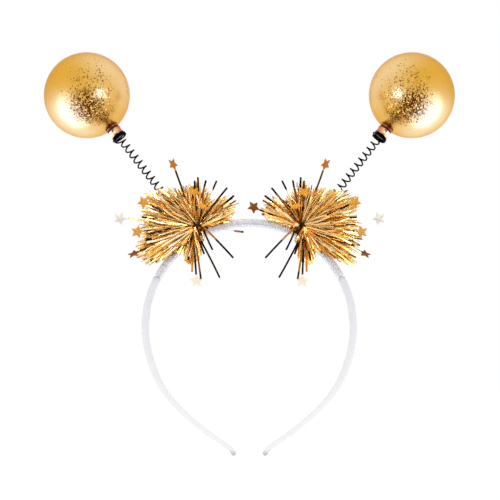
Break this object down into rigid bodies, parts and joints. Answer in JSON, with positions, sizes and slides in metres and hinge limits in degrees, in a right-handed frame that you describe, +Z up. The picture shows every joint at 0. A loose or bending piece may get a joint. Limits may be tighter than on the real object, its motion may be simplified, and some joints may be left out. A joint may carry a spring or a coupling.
{
  "type": "head bopper headband",
  "caption": "Narrow headband with a glitter-wrapped top; two gold balls bob on thin coil springs, each rising from a burst of gold foil strips and stars.",
  "frame": {"origin": "middle of the wrapped band's inner face at the crown, where it rests on a head", "axes": "+Z up out of the head, +X to the right as seen from the front, +Y to the back; the front faces -Y"},
  "size_m": [0.2504, 0.0862, 0.2439],
  "materials": {
    "band_cloth": "matt white cloth, finely wrinkled",
    "glitter_cloth": "silver-white glitter cloth with lilac glints",
    "tinsel_foil": "bright gold foil strips, some seen dark",
    "spring_wire": "blackened spring wire, satin",
    "ferrule_metal": "polished gold cap",
    "ball_gold": "satin gold with fine glitter speckle",
    "star_foil": "orange gold foil"
  },
  "bodies": {
    "band": {"headband": "band_cloth", "glitter_wrap": "glitter_cloth", "tinsel_burst_left": "tinsel_foil", "tinsel_burst_right": "tinsel_foil", "spring_left": "spring_wire", "spring_right": "spring_wire", "star_left_1": "star_foil", "star_left_2": "star_foil", "star_left_3": "star_foil", "star_left_4": "star_foil", "star_left_5": "star_foil", "star_left_6": "star_foil", "star_left_7": "star_foil", "star_left_8": "star_foil", "star_right_1": "star_foil", "star_right_2": "star_foil", "star_right_3": "star_foil", "star_right_4": "star_foil", "star_right_5": "star_foil", "star_right_6": "star_foil", "star_right_7": "star_foil", "star_right_8": "star_foil", "star_right_9": "star_foil"},
    "bopper_left": {"ball_left": "ball_gold", "ferrule_left": "ferrule_metal"},
    "bopper_right": {"ball_right": "ball_gold", "ferrule_right": "ferrule_metal"}
  },
  "joints": [
    {"name": "bob_left", "type": "hinge", "parent": "band", "child": "bopper_left", "pos_m": [-0.05941, 0.01073, 0.02942], "axis": [0, 1, 0], "range_deg": [-35, 35], "stiffness_Nm_per_rad": 0.02, "springref_deg": 8.02, "deforming": ["spring_left"]},
    {"name": "bob_right", "type": "hinge", "parent": "band", "child": "bopper_right", "pos_m": [0.05941, 0.01073, 0.02942], "axis": [0, 1, 0], "range_deg": [-35, 35], "stiffness_Nm_per_rad": 0.02, "springref_deg": -8.02, "deforming": ["spring_right"]}
  ]
}
